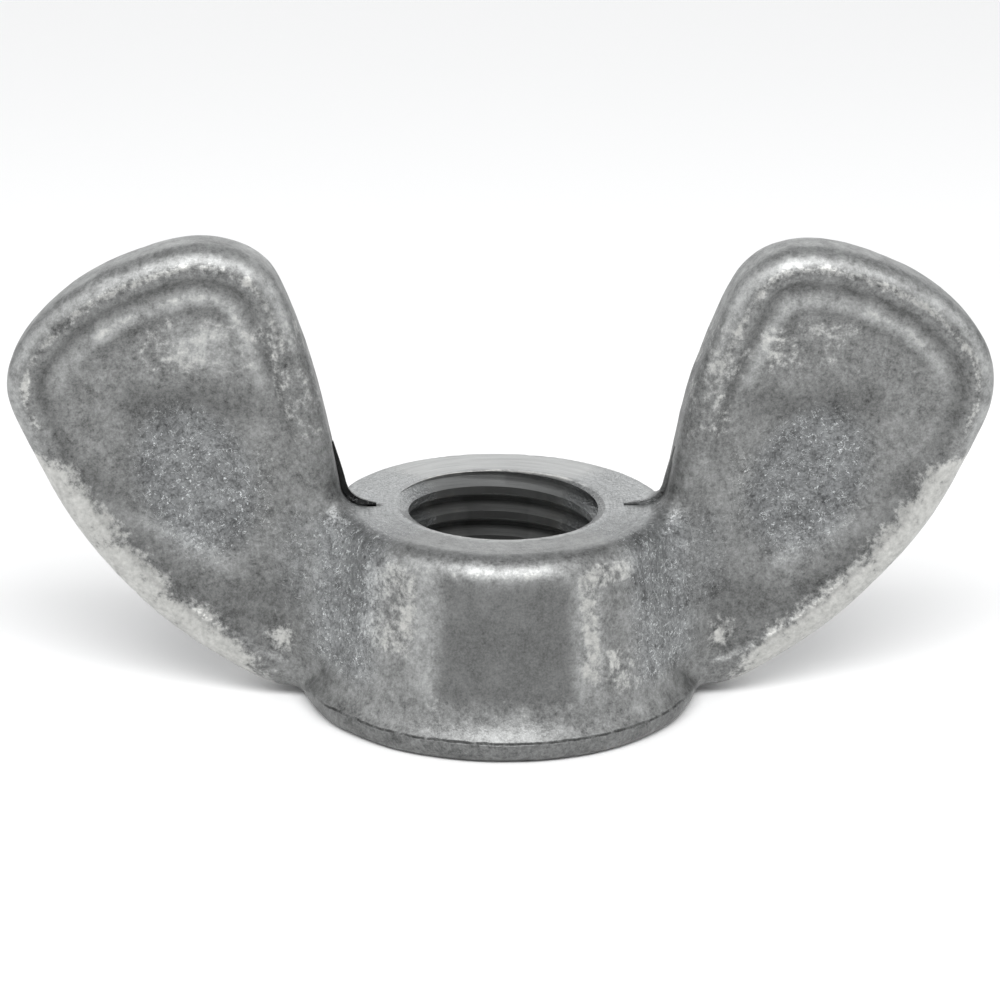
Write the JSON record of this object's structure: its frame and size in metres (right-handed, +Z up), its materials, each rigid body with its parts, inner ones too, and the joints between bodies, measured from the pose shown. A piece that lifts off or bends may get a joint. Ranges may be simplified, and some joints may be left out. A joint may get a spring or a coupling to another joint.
{
  "type": "wing nut",
  "caption": "Cast metal wing nut: a threaded round hub with a flat seat and rounded, dished wings to turn it by hand.",
  "frame": {"origin": "centre of the round seat face, on the thread axis", "axes": "+Z up the thread axis from the seat towards the wing tips, +X along the wings, Y through their thickness"},
  "size_m": [0.073, 0.03, 0.0352],
  "materials": {
    "cast_metal": "dull grey zinc-coated casting, mottled, with burnished patches on its raised edges"
  },
  "bodies": {
    "root": {"wing_nut": "cast_metal"}
  },
  "joints": []
}
